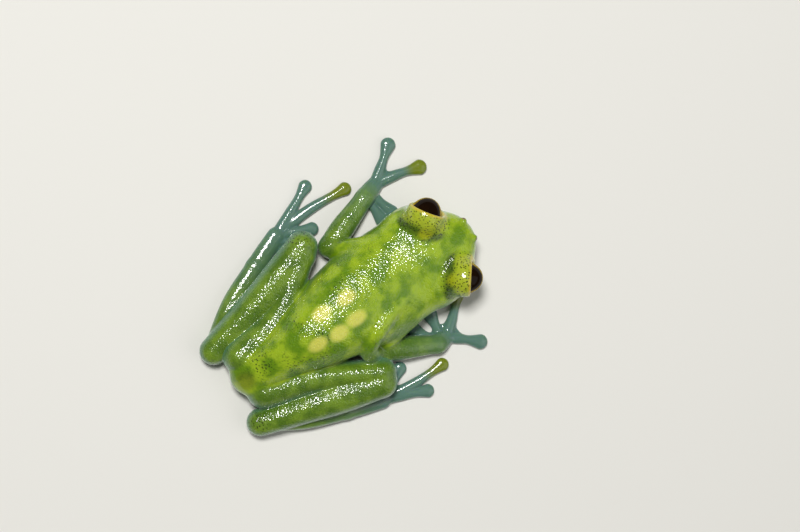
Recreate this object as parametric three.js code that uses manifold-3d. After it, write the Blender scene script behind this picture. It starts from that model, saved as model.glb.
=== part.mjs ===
// Glass frog crouched on a level surface, life size, as a still model.
// Millimetres, +Z up. The snout points to -Y and the frog's left side is +X.
// The origin is the middle of the flat of the belly that it rests on.
import * as THREE from "three";
import { mergeVertices } from "three/addons/utils/BufferGeometryUtils.js";
import Module from "manifold-3d";

const wasm = await Module();
wasm.setup();

// Clear space between pieces that meet, and round the eyeballs
const GAP = 0.25;
const EYE_GAP = 0.12;

// Trunk, from the neck to the vent: half width, and height of back and belly
const NECK_Y = -5.6;
const TRUNK = [
  { at: NECK_Y - 0.6, half: 4.6, top: 5.15, bottom: 0.0 },
  { at: -4.2, half: 4.6, top: 5.4, bottom: -0.3 },
  { at: -1.5, half: 4.55, top: 5.85, bottom: -0.35 },
  { at: 1.5, half: 4.0, top: 6.15, bottom: -0.35 },
  { at: 4.5, half: 3.2, top: 6.15, bottom: -0.35 },
  { at: 7.5, half: 2.3, top: 5.3, bottom: -0.25 },
  { at: 10.2, half: 1.95, top: 4.15, bottom: 0.1 },
  { at: 11.9, half: 1.5, top: 3.25, bottom: 0.75 },
  { at: 12.6, half: 0.85, top: 2.6, bottom: 1.35 },
];
const TRUNK_WIDEST = 0.42; // level of the widest line, as a share of the height
const TRUNK_SQUARE = 2.3;

// Head, from the neck to the blunt snout, measured forward from the neck
const HEAD_TURN = THREE.MathUtils.degToRad(1); // to the frog's right
const HEAD = [
  { at: -0.6, half: 4.6, top: 5.15, bottom: 0.05 },
  { at: 1.3, half: 4.8, top: 5.15, bottom: 0.3 },
  { at: 3.1, half: 4.7, top: 5.0, bottom: 0.6 },
  { at: 4.3, half: 4.1, top: 4.8, bottom: 0.85 },
  { at: 5.2, half: 3.25, top: 4.58, bottom: 1.05 },
  { at: 5.8, half: 2.5, top: 4.4, bottom: 1.2 },
  { at: 6.5, half: 1.7, top: 4.1, bottom: 1.5 },
  { at: 6.9, half: 1.2, top: 3.85, bottom: 1.85 },
  { at: 7.05, half: 0.85, top: 3.55, bottom: 2.15 },
];
const HEAD_SQUARE = 2.3;
const LIP = { level: 1.95, corner: 1.3, height: 0.2, depth: 0.3 };
const NOSTRIL = { side: 0.9, at: 6.65, level: 3.7, bump: 0.32, pit: 0.16 };
const PIT = { side: 0.26, ahead: 0.16, up: 0.12 }; // of a nostril's pit from its bump
const EAR = { at: 1.75, level: 3.05, radius: 0.5, depth: 0.12, half: 4.6 };

// Eyes: centre from the head's middle line and the neck, and the way they look
const EYE = {
  side: 3.25,
  at: 3.95,
  level: 4.45,
  radius: 1.5,
  cornea: 1.3,
  bulge: 0.35,
  outward: THREE.MathUtils.degToRad(36),
  upward: THREE.MathUtils.degToRad(10),
};
// The lids end a little ahead of the eye's centre, and the socket opens there
const LID = { thick: 0.22, edge: 0.5, opening: 1.48 };

// Limb girths along their length, as half width and half height
const THIGH = [
  { at: 0, half: 1.55, tall: 1.75 },
  { at: 0.35, half: 1.4, tall: 1.75 },
  { at: 0.75, half: 1.2, tall: 1.45 },
  { at: 1, half: 1.12, tall: 1.25 },
];
const SHANK = [
  { at: 0, half: 1.38, tall: 1.25 },
  { at: 0.35, half: 1.58, tall: 1.4 },
  { at: 0.75, half: 1.38, tall: 1.3 },
  { at: 1, half: 1.25, tall: 1.2 },
];
const TARSUS = [
  { at: 0, half: 0.9, tall: 0.85 },
  { at: 0.5, half: 0.83, tall: 0.75 },
  { at: 1, half: 0.85, tall: 0.62 },
];
const UPPER_ARM = [
  { at: 0, half: 1.2, tall: 1.2 },
  { at: 0.6, half: 0.9, tall: 1.0 },
  { at: 1, half: 0.85, tall: 0.9 },
];
const FOREARM = [
  { at: 0, half: 0.95, tall: 0.92 },
  { at: 0.35, half: 1.08, tall: 1.05 },
  { at: 0.8, half: 0.9, tall: 0.8 },
  { at: 1, half: 0.82, tall: 0.65 },
];
const PALM = [
  { at: 0, half: 0.8, tall: 0.6 },
  { at: 0.6, half: 0.82, tall: 0.52 },
  { at: 1, half: 0.72, tall: 0.45 },
];
const INSTEP = [
  { at: 0, half: 0.85, tall: 0.6 },
  { at: 0.5, half: 0.85, tall: 0.52 },
  { at: 1, half: 0.8, tall: 0.45 },
];

// Digits: the middle of a digit lies this high, with a round disc at the tip
const DIGIT = { level: 0.27, half: 0.5, tall: 0.4, waist: 0.42 };
const DISC = { finger: 0.7, toe: 0.63, tall: 0.36 };
// How far back along the instep or the palm each digit starts
const TOE_ROOTS = [0.45, 0.28, 0.12, 0, 0];
const FINGER_ROOTS = [0.9, 0.6, 0, 0];
const TOE_BOWS = [1, 1, 0.6, 0.35, -0.1];
const FINGER_BOWS = [0, 0.3, 0.3, -0.1];
// Webs start from these digits, counted from 0, and run to the next one.
const WEB = { tall: 0.45, reach: 0.55, notch: 0.2, toes: [2, 3] };

// Where each side's joints and digit tips lie: [x, y, z], digits as [x, y]
const SIDES = {
  left: {
    sign: 1,
    hip: [1.9, 10.6, 1.9],
    thigh: [3.05, 5.75, 1.9],
    knee: [6.1, 1.1, 2.15],
    shin: [6.8, 0.7, 2.15],
    calf: [5.15, 5.45, 1.95],
    heel: [3.5, 12.25, 1.3],
    ankle: [3.6, 12.1, 0.9],
    tarsus: [6.0, 8.65, 0.8],
    instep: [7.5, 5.05, 0.6],
    fork: [8.7, 2.0, 0.4],
    toes: [
      [7.2, 2.2],
      [6.85, 0.6],
      [7.4, -1.0],
      [8.7, -5.4],
      [10.85, -2.6],
    ],
    shoulder: [3.3, -3.9, 3.1],
    elbow: [5.35, -1.3, 1.45],
    wrist: [7.1, -6.4, 0.8],
    palm: [7.5, -7.8, 0.42],
    fingers: [
      [4.6, -6.7],
      [4.65, -7.7],
      [6.55, -12.05],
      [9.75, -10.8],
    ],
    fingerWebs: [2],
  },
  right: {
    sign: -1,
    hip: [-1.9, 10.6, 1.9],
    thigh: [-3.6, 5.9, 1.9],
    knee: [-6.5, 0.95, 2.15],
    shin: [-7.25, 1.6, 2.15],
    calf: [-5.95, 5.85, 1.95],
    heel: [-4.1, 12.4, 1.3],
    ankle: [-4.25, 12.2, 0.9],
    tarsus: [-6.3, 9.05, 0.8],
    instep: [-7.75, 5.5, 0.6],
    fork: [-8.85, 2.35, 0.4],
    toes: [
      [-7.45, 2.45],
      [-7.1, 0.8],
      [-7.45, -0.55],
      [-9.35, -3.9],
      [-10.55, -1.5],
    ],
    shoulder: [-3.3, -3.9, 3.1],
    elbow: [-4.85, 0.1, 1.45],
    wrist: [-7.5, -4.6, 0.8],
    palm: [-7.5, -5.6, 0.42],
    fingers: [
      [-5.15, -3.5],
      [-5.0, -5.5],
      [-4.9, -8.5],
      [-9.6, -7.9],
    ],
    fingerWebs: [0, 1, 2],
  },
};
const DIGIT_BEND = 0.1; // how far a digit bows sideways, as a share of its length

// Fineness of the facets
const FACETS = {
  trunk: 28,
  trunkRings: 16,
  headRings: 16,
  limb: 12,
  digit: 8,
  ball: [16, 10],
  lid: [20, 12],
  bump: [8, 6],
};
const CAP_STEPS = 3;
const SLIVER = 0.01; // facets closer than this to flat are joined
const CLEAR = 20; // longer than anything that it cuts

const UP = new THREE.Vector3(0, 0, 1);
const point = (p) => new THREE.Vector3(p[0], p[1], p[2]);

/** Smooth curve through the rows' values of one key, read at any place along them. */
function profile(rows, key) {
  const slope = (i) => {
    const before = rows[Math.max(i - 1, 0)];
    const after = rows[Math.min(i + 1, rows.length - 1)];
    return (after[key] - before[key]) / (after.at - before.at);
  };
  return (at) => {
    let i = 0;
    while (i < rows.length - 2 && at > rows[i + 1].at) i += 1;
    const span = rows[i + 1].at - rows[i].at;
    const t = (at - rows[i].at) / span;
    const t2 = t * t;
    const t3 = t2 * t;
    return (
      rows[i][key] * (2 * t3 - 3 * t2 + 1) +
      slope(i) * span * (t3 - 2 * t2 + t) +
      rows[i + 1][key] * (3 * t2 - 2 * t3) +
      slope(i + 1) * span * (t3 - t2)
    );
  };
}

/** A closed skin over rings that all have the same number of points. */
function loft(rings) {
  const count = rings[0].length;
  const places = [];
  const faces = [];
  rings.flat().forEach((p) => places.push(p.x, p.y, p.z));
  for (let i = 0; i + 1 < rings.length; i += 1) {
    for (let j = 0; j < count; j += 1) {
      const a = i * count + j;
      const b = i * count + ((j + 1) % count);
      faces.push(a, b, a + count, b, b + count, a + count);
    }
  }
  const closeEnd = (ring, first, flip) => {
    const middle = ring.reduce((sum, p) => sum.add(p), new THREE.Vector3());
    middle.divideScalar(count);
    const pole = places.length / 3;
    places.push(middle.x, middle.y, middle.z);
    for (let j = 0; j < count; j += 1) {
      const a = first + j;
      const b = first + ((j + 1) % count);
      faces.push(pole, flip ? b : a, flip ? a : b);
    }
  };
  closeEnd(rings[0], 0, true);
  closeEnd(rings[rings.length - 1], (rings.length - 1) * count, false);
  const skin = new THREE.BufferGeometry();
  skin.setAttribute("position", new THREE.Float32BufferAttribute(places, 3));
  skin.setIndex(faces);
  return skin;
}

/** One oval ring: side and up span it, and square above 2 makes it boxier. */
function ring({ centre, side, up, half, above, below, square, count }) {
  const points = [];
  for (let j = 0; j < count; j += 1) {
    const turn = (2 * Math.PI * (j + 0.5)) / count;
    const c = Math.cos(turn);
    const s = Math.sin(turn);
    const across = Math.sign(c) * Math.abs(c) ** (2 / square) * half;
    const along = Math.sign(s) * Math.abs(s) ** (2 / square) * (s > 0 ? above : below);
    points.push(
      centre.clone().addScaledVector(side, across).addScaledVector(up, along),
    );
  }
  return points;
}

/** The trunk or the head: ovals across a straight line, with a widest level. */
function bodyLoft(rows, steps, square, toPlace, ahead, grow = 0) {
  const [half, top, bottom] = ["half", "top", "bottom"].map((key) => profile(rows, key));
  const first = rows[0].at;
  const last = rows[rows.length - 1].at;
  const rings = [];
  for (let i = 0; i <= steps; i += 1) {
    // Rings crowd towards the far end, where the form closes fastest.
    const share = Math.sin(((i / steps) * Math.PI) / 2);
    const at = first + (last - first) * share;
    const low = bottom(at) - grow;
    const high = top(at) + grow;
    const widest = low + (high - low) * TRUNK_WIDEST;
    rings.push(
      ring({
        centre: toPlace(at, widest),
        side: new THREE.Vector3().crossVectors(UP, ahead),
        up: UP,
        half: half(at) + grow,
        above: high - widest,
        below: widest - low,
        square,
        count: FACETS.trunk,
      }),
    );
  }
  return loft(rings);
}

/** A limb or digit with round ends along a smooth path through the given points. */
function limbLoft(path, girth, { rings = 9, count = FACETS.limb, grow = 0 } = {}) {
  const curve = new THREE.CatmullRomCurve3(path, false, "centripetal");
  const half = profile(girth, "half");
  const tall = profile(girth, "tall");
  const made = [];
  const addRing = (at, slide, shrink) => {
    const ahead = curve.getTangentAt(at);
    const side = new THREE.Vector3().crossVectors(UP, ahead).normalize();
    const up = new THREE.Vector3().crossVectors(ahead, side);
    const centre = curve.getPointAt(at).addScaledVector(ahead, slide);
    const height = (tall(at) + grow) * shrink;
    const width = (half(at) + grow) * shrink;
    made.push(
      ring({ centre, side, up, half: width, above: height, below: height, square: 2, count }),
    );
  };
  const roundEnd = (at, sign, order) =>
    order.forEach((k) => {
      const turn = (k / (CAP_STEPS + 0.35)) * (Math.PI / 2);
      addRing(at, sign * (half(at) + grow) * Math.sin(turn), Math.cos(turn));
    });
  const outwards = Array.from({ length: CAP_STEPS }, (_, k) => k + 1);
  roundEnd(0, -1, [...outwards].reverse());
  for (let i = 0; i <= rings; i += 1) addRing(i / rings, 0, 1);
  roundEnd(1, 1, outwards);
  return loft(made);
}

/** A closed geometry as a solid that can be cut and joined. */
function solid(geometry) {
  const bare = geometry.clone();
  ["normal", "uv"].forEach((name) => bare.deleteAttribute(name));
  const merged = mergeVertices(bare, 1e-5);
  return new wasm.Manifold(
    new wasm.Mesh({
      numProp: 3,
      vertProperties: new Float32Array(merged.attributes.position.array),
      triVerts: new Uint32Array(merged.index.array),
    }),
  );
}

/** A ball about a centre. */
function ball(radius, centre, detail = FACETS.ball) {
  const round = new THREE.SphereGeometry(radius, ...detail);
  round.rotateX(Math.PI / 2);
  round.translate(centre.x, centre.y, centre.z);
  return solid(round);
}

/** A straight round rod from one point towards another. */
function rod(radius, from, towards, length, sides = 20) {
  const round = new THREE.CylinderGeometry(radius, radius, length, sides);
  round.translate(0, length / 2, 0);
  const turn = new THREE.Quaternion().setFromUnitVectors(
    new THREE.Vector3(0, 1, 0),
    towards.clone().normalize(),
  );
  round.applyQuaternion(turn);
  round.translate(from.x, from.y, from.z);
  return solid(round);
}

const cut = (body, ...cutters) => cutters.reduce((left, c) => left.subtract(c), body);
const join = (...bodies) => bodies.reduce((all, b) => all.add(b));

// Everything below the surface that the frog rests on
const underFloor = solid(
  new THREE.BoxGeometry(4 * CLEAR, 4 * CLEAR, CLEAR).translate(0, 0, -CLEAR / 2),
);

/** Only the largest closed piece, with slivers from the cuts cleared away. */
function largest(body) {
  const pieces = cut(body, underFloor).simplify(SLIVER).decompose();
  return pieces.reduce((big, p) => (p.volume() > big.volume() ? p : big));
}

const MATERIALS = {
  skin: { color: 0x7f9c1e, roughness: 0.28, metalness: 0 },
  limb: { color: 0x5f8a35, roughness: 0.25, metalness: 0 },
  digit: { color: 0x6f9c80, roughness: 0.22, metalness: 0 },
  eye: { color: 0x1c120a, roughness: 0.05, metalness: 0 },
};

const frog = new THREE.Group();

/** Adds a solid to the frog as a named mesh of its own. */
function addPiece(name, body, finish) {
  const mesh = largest(body).getMesh();
  const skin = new THREE.BufferGeometry();
  skin.setAttribute("position", new THREE.BufferAttribute(mesh.vertProperties, 3));
  skin.setIndex(new THREE.BufferAttribute(mesh.triVerts, 1));
  skin.computeVertexNormals();
  const piece = new THREE.Mesh(skin, new THREE.MeshStandardMaterial(MATERIALS[finish]));
  piece.name = name;
  frog.add(piece);
}

// The head's own directions: forward along the turned snout, and its left side
const headAhead = new THREE.Vector3(-Math.sin(HEAD_TURN), -Math.cos(HEAD_TURN), 0);
const headLeft = new THREE.Vector3().crossVectors(UP, headAhead);

/** A place on the head from the distance ahead of the neck, sideways and height. */
function headPlace(at, side, level) {
  return new THREE.Vector3(0, NECK_Y, level)
    .addScaledVector(headAhead, at)
    .addScaledVector(headLeft, side);
}

const trunkLoft = (grow = 0) =>
  bodyLoft(
    TRUNK,
    FACETS.trunkRings,
    TRUNK_SQUARE,
    (at, level) => new THREE.Vector3(0, at, level),
    new THREE.Vector3(0, 1, 0),
    grow,
  );
const headLoft = (grow = 0) =>
  bodyLoft(
    HEAD,
    FACETS.headRings,
    HEAD_SQUARE,
    (at, level) => headPlace(at, 0, level),
    headAhead,
    grow,
  );

/** Half of all space as a block, behind or ahead of the plane at a given y. */
function halfSpace(y, sign) {
  const block = new THREE.BoxGeometry(2 * CLEAR, 2 * CLEAR, 2 * CLEAR);
  return solid(block.translate(0, y + sign * CLEAR, 0));
}

/** The eye's centre and the way that it looks, on the side with this sign. */
function eyePlace(sign) {
  const look = new THREE.Vector3()
    .addScaledVector(headAhead, Math.cos(EYE.outward))
    .addScaledVector(headLeft, sign * Math.sin(EYE.outward))
    .multiplyScalar(Math.cos(EYE.upward))
    .addScaledVector(UP, Math.sin(EYE.upward));
  return { centre: headPlace(EYE.at, sign * EYE.side, EYE.level), look };
}

/** Eyeball with the clear cornea standing a little proud of it. */
function eyeball(sign, grow = 0) {
  const { centre, look } = eyePlace(sign);
  return join(
    ball(EYE.radius + grow, centre),
    ball(EYE.cornea + grow, centre.clone().addScaledVector(look, EYE.bulge)),
  );
}

/** The head with lids, lip line, nostrils and ear drums. */
function makeHead() {
  let head = solid(headLoft());
  for (const sign of [1, -1]) {
    const { centre, look } = eyePlace(sign);
    const edge = centre.clone().addScaledVector(look, LID.edge);
    const lid = ball(EYE.radius + EYE_GAP + LID.thick, centre, FACETS.lid);
    head = join(head, cut(lid, rod(2 * EYE.radius, edge, look, CLEAR)));
    const nose = headPlace(NOSTRIL.at, sign * NOSTRIL.side, NOSTRIL.level);
    head = join(head, ball(NOSTRIL.bump, nose, FACETS.bump));
  }
  const inside = solid(headLoft(-LIP.depth));
  const slit = new THREE.BoxGeometry(CLEAR, CLEAR, LIP.height);
  slit.translate(0, NECK_Y - LIP.corner - CLEAR / 2, LIP.level);
  head = cut(head, cut(solid(slit), inside));
  for (const sign of [1, -1]) {
    const { centre, look } = eyePlace(sign);
    const edge = centre.clone().addScaledVector(look, LID.edge);
    head = cut(head, eyeball(sign, EYE_GAP), rod(LID.opening, edge, look, CLEAR));
    const nose = headPlace(
      NOSTRIL.at + PIT.ahead,
      sign * (NOSTRIL.side + PIT.side),
      NOSTRIL.level + PIT.up,
    );
    head = cut(head, ball(NOSTRIL.pit, nose, FACETS.bump));
    const drum = headPlace(EAR.at, sign * (EAR.half - EAR.depth), EAR.level);
    head = cut(head, rod(EAR.radius, drum, headLeft.clone().multiplyScalar(sign), 1));
  }
  return cut(head, halfSpace(NECK_Y - GAP / 2, 1));
}

addPiece("torso", cut(solid(trunkLoft()), halfSpace(NECK_Y + GAP / 2, -1)), "skin");
addPiece("head", makeHead(), "skin");
addPiece("eye_left", eyeball(1), "eye");
addPiece("eye_right", eyeball(-1), "eye");

const nearTrunk = join(solid(trunkLoft(GAP)), solid(headLoft(GAP)));

/** The bowed path of a digit from its root to its tip, lying on the surface. */
function digitPath(root, tip, sign) {
  const from = new THREE.Vector3(root.x, root.y, DIGIT.level);
  const to = new THREE.Vector3(tip[0], tip[1], DIGIT.level);
  const run = to.clone().sub(from);
  const bow = new THREE.Vector3().crossVectors(UP, run).multiplyScalar(sign * DIGIT_BEND);
  return [from, from.clone().addScaledVector(run, 0.5).add(bow), to];
}

/** Girth along a digit, with the disc at its tip. */
function digitGirth(disc, length) {
  const neck = 1 - (1.7 * disc) / length;
  return [
    { at: 0, half: DIGIT.half * 1.1, tall: DIGIT.tall },
    { at: neck * 0.6, half: DIGIT.half, tall: DIGIT.tall },
    { at: neck, half: DIGIT.waist, tall: DIGIT.tall },
    { at: 1, half: disc, tall: DISC.tall },
  ];
}

/** The skin between two neighbouring digits: a flat slab that follows both. */
function web(pathA, pathB, grow) {
  const curves = [pathA, pathB].map((path) => new THREE.CatmullRomCurve3(path, false, "centripetal"));
  const sides = curves.map((curve) =>
    [0, 0.5, 1].map((share) => curve.getPointAt(share * WEB.reach)),
  );
  const notch = sides[0][2].clone().lerp(sides[1][2], 0.5).lerp(sides[0][0], WEB.notch);
  const outline = [...sides[0], notch, ...sides[1].slice(1).reverse()];
  const flat = new THREE.Shape(outline.map((p) => new THREE.Vector2(p.x, p.y)));
  const slab = new THREE.ExtrudeGeometry(flat, {
    depth: WEB.tall + grow,
    bevelSize: 0,
    bevelThickness: 0.02,
    bevelSegments: 1,
    bevelOffset: grow,
  });
  return solid(slab);
}

/** The digits of one hand or foot, each with the web towards the next one. */
function digits(roots, tips, disc, bows, webbed) {
  const paths = tips.map((tip, i) => digitPath(roots[i], tip, bows[i]));
  return paths.map((path, i) => (grow = 0) => {
    const girth = digitGirth(disc, path[0].distanceTo(path[2]));
    const bare = solid(limbLoft(path, girth, { rings: 6, count: FACETS.digit, grow }));
    return webbed.includes(i) ? join(bare, web(path, paths[i + 1], grow)) : bare;
  });
}

/** Adds each digit, clear of the digits after it and of everything in the way. */
function addDigits(name, made, inTheWay) {
  made.forEach((digit, i) => {
    const later = made.slice(i + 1).map((other) => other(GAP));
    addPiece(`${name}_${i + 1}`, cut(digit(), ...inTheWay, ...later), "digit");
  });
}

for (const [side, j] of Object.entries(SIDES)) {
  const limb = (places, girth, rings) => (grow = 0) =>
    solid(limbLoft(places.map(point), girth, { rings, grow }));
  const thigh = limb([j.hip, j.thigh, j.knee], THIGH, 9);
  const shank = limb([j.shin, j.calf, j.heel], SHANK, 9);
  const tarsus = limb([j.ankle, j.tarsus, j.instep], TARSUS, 7);
  const foot = limb([j.instep, j.fork], INSTEP, 4);
  const upperArm = limb([j.shoulder, j.elbow], UPPER_ARM, 5);
  const forearm = limb([j.elbow, j.wrist], FOREARM, 6);
  const palm = limb([j.wrist, j.palm], PALM, 3);

  const toeRoots = TOE_ROOTS.map((back) => point(j.fork).lerp(point(j.instep), back));
  const toeBows = TOE_BOWS.map((bow) => bow * j.sign);
  const toes = digits(toeRoots, j.toes, DISC.toe, toeBows, WEB.toes);
  const fingerRoots = FINGER_ROOTS.map((back) => point(j.palm).lerp(point(j.wrist), back));
  const fingerBows = FINGER_BOWS.map((bow) => bow * j.sign);
  const fingers = digits(fingerRoots, j.fingers, DISC.finger, fingerBows, j.fingerWebs);

  const leg = [thigh(GAP), shank(GAP)];
  addPiece(`thigh_${side}`, cut(thigh(), nearTrunk), "limb");
  addPiece(`shank_${side}`, cut(shank(), leg[0], nearTrunk), "limb");
  addPiece(`tarsus_${side}`, cut(tarsus(), ...leg), "limb");
  addPiece(`foot_${side}`, cut(foot(), tarsus(GAP), ...leg), "digit");
  addDigits(`toe_${side}`, toes, [foot(GAP), tarsus(GAP), ...leg]);

  addPiece(`upper_arm_${side}`, cut(upperArm(), nearTrunk, ...leg), "skin");
  addPiece(`forearm_${side}`, cut(forearm(), upperArm(GAP), nearTrunk, ...leg), "limb");
  addPiece(`hand_${side}`, cut(palm(), forearm(GAP), nearTrunk), "digit");
  addDigits(`finger_${side}`, fingers, [palm(GAP), forearm(GAP), nearTrunk]);
}

export default frog;
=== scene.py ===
"""A life-size glass frog at rest: one wet see-through skin and two eyes, on a pale studio floor.

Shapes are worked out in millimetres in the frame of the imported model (+Z up, snout to -Y, the
frog's left side to +X) as signed distances, so that body, lids, limbs and webs flow into one
skin, and turned to metres when a mesh is made.
"""
import logging
import math
from dataclasses import dataclass, field
from enum import Enum
from typing import Callable, Iterable, Sequence

import bpy
import numpy as np
from bpy.types import Material, Node, NodeSocket, NodeTree, Object
from mathutils import Matrix, Vector


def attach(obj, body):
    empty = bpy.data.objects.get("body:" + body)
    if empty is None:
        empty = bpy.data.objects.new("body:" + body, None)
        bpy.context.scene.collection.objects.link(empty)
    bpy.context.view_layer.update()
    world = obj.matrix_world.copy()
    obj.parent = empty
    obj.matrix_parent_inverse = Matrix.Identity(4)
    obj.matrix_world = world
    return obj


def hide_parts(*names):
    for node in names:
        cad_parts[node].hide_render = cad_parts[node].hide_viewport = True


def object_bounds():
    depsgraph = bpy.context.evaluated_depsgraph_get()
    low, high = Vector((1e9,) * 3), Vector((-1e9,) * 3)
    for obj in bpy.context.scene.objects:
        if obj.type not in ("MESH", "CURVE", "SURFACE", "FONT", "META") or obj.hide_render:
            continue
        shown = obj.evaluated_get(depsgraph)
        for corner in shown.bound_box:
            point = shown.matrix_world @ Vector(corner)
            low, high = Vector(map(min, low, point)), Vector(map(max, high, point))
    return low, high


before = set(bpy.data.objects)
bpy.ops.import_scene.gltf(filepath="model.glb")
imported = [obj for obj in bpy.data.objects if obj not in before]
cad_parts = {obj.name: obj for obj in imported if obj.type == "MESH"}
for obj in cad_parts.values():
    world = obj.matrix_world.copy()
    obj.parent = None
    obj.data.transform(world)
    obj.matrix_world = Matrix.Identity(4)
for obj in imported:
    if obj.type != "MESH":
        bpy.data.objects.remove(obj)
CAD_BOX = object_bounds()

Array = np.ndarray
Pair = tuple[float, float]
Place = tuple[float, float, float]
Axes = Sequence[Array]  # X, Y and Z of places in mm, as arrays that broadcast together
Fade = Pair  # a measure at which a marking is gone, and one at which it is full

MM = 0.001
FAR = 9.0  # mm: farther from the skin than this is not worked out
TINY = 1e-6  # mm: keeps a length above 0
UP = np.array([0.0, 0.0, 1.0])

log = logging.getLogger("glass_frog")


class Side(Enum):
    """One side of the frog, with the sign of X there."""

    LEFT = 1
    RIGHT = -1


def linear(code: str) -> tuple[float, float, float, float]:
    """Turn an sRGB hex colour into linear RGBA.

    Args:
        code: A colour such as "#7f9c1e".

    Returns:
        The linear red, green, blue and an alpha of 1.
    """
    parts = (int(code[i : i + 2], 16) / 255 for i in (1, 3, 5))
    rgb = (c / 12.92 if c <= 0.04045 else ((c + 0.055) / 1.055) ** 2.4 for c in parts)
    return (*rgb, 1.0)


def fade(edges: Fade, value: Array) -> Array:
    """Rise smoothly from 0 at the first edge to 1 at the second."""
    t = np.clip((value - edges[0]) / (edges[1] - edges[0]), 0, 1)
    return t * t * (3 - 2 * t)


def bell(value: Array, width: float) -> Array:
    """A bell that is 1 where value is 0 and fades over about width."""
    return np.exp(-np.square(value / width))


def smooth_union(a: Array, b: Array, blend: float) -> Array:
    """Join two signed distances with a fillet about blend wide."""
    near = np.clip(1 - np.abs(a - b) / blend, 0, None)
    return np.minimum(a, b) - near * near * (blend / 4)


def smooth_cut(a: Array, b: Array, blend: float) -> Array:
    """Cut the form b out of the form a, with an edge rounded by about blend."""
    return -smooth_union(-a, b, blend)


def hermite(rows: Sequence[Sequence[float]], column: int, at: Array) -> Array:
    """Read a smooth curve through one column of a table.

    Args:
        rows: Lines of numbers, of which the first is the place along the curve, rising.
        column: Which number of each line to read.
        at: The places to read the curve at.

    Returns:
        The curve's value at each place.
    """
    table = np.array(rows, dtype=float)
    knots, values = table[:, 0], table[:, column]
    before = np.maximum(np.arange(len(knots)) - 1, 0)
    after = np.minimum(np.arange(len(knots)) + 1, len(knots) - 1)
    slopes = (values[after] - values[before]) / (knots[after] - knots[before])
    at = np.clip(at, knots[0], knots[-1])
    i = np.clip(np.searchsorted(knots, at, side="right") - 1, 0, len(knots) - 2)
    span = knots[i + 1] - knots[i]
    t = (at - knots[i]) / span
    return (
        values[i] * (2 * t**3 - 3 * t**2 + 1)
        + slopes[i] * span * (t**3 - 2 * t**2 + t)
        + values[i + 1] * (3 * t**2 - 2 * t**3)
        + slopes[i + 1] * span * (t**3 - t**2)
    )


def spline(points: Sequence[Place], count: int) -> Array:
    """Run a centripetal Catmull-Rom curve through points, at even distances.

    Args:
        points: Two or more places.
        count: How many places to return.

    Returns:
        An array of count rows of x, y, z.
    """
    given = np.array(points, dtype=float)
    padded = np.vstack([2 * given[0] - given[1], given, 2 * given[-1] - given[-2]])
    knots = np.concatenate([[0], np.cumsum(np.linalg.norm(np.diff(padded, axis=0), axis=1) ** 0.5)])
    dense: list[Array] = []
    for i in range(1, len(padded) - 2):
        p, k = padded[i - 1 : i + 3], knots[i - 1 : i + 3]
        t = np.linspace(k[1], k[2], 40)[:, None]
        a = [(p[j] * (k[j + 1] - t) + p[j + 1] * (t - k[j])) / (k[j + 1] - k[j]) for j in range(3)]
        b = [(a[j] * (k[j + 2] - t) + a[j + 1] * (t - k[j])) / (k[j + 2] - k[j]) for j in range(2)]
        dense.append((b[0] * (k[2] - t) + b[1] * (t - k[1])) / (k[2] - k[1]))
    line = np.vstack(dense)
    run = np.concatenate([[0], np.cumsum(np.linalg.norm(np.diff(line, axis=0), axis=1))])
    return np.column_stack([np.interp(np.linspace(0, run[-1], count), run, line[:, i]) for i in range(3)])


@dataclass(frozen=True)
class Ball:
    """A ball about a centre, in mm."""

    centre: Array
    radius: float

    def corners(self) -> tuple[Array, Array]:
        """The lowest and highest corners of the form."""
        return self.centre - self.radius, self.centre + self.radius

    def distance(self, at: Axes) -> Array:
        """Signed distance of each place from the ball."""
        return np.sqrt(sum((a - c) ** 2 for a, c in zip(at, self.centre))) - self.radius


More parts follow.
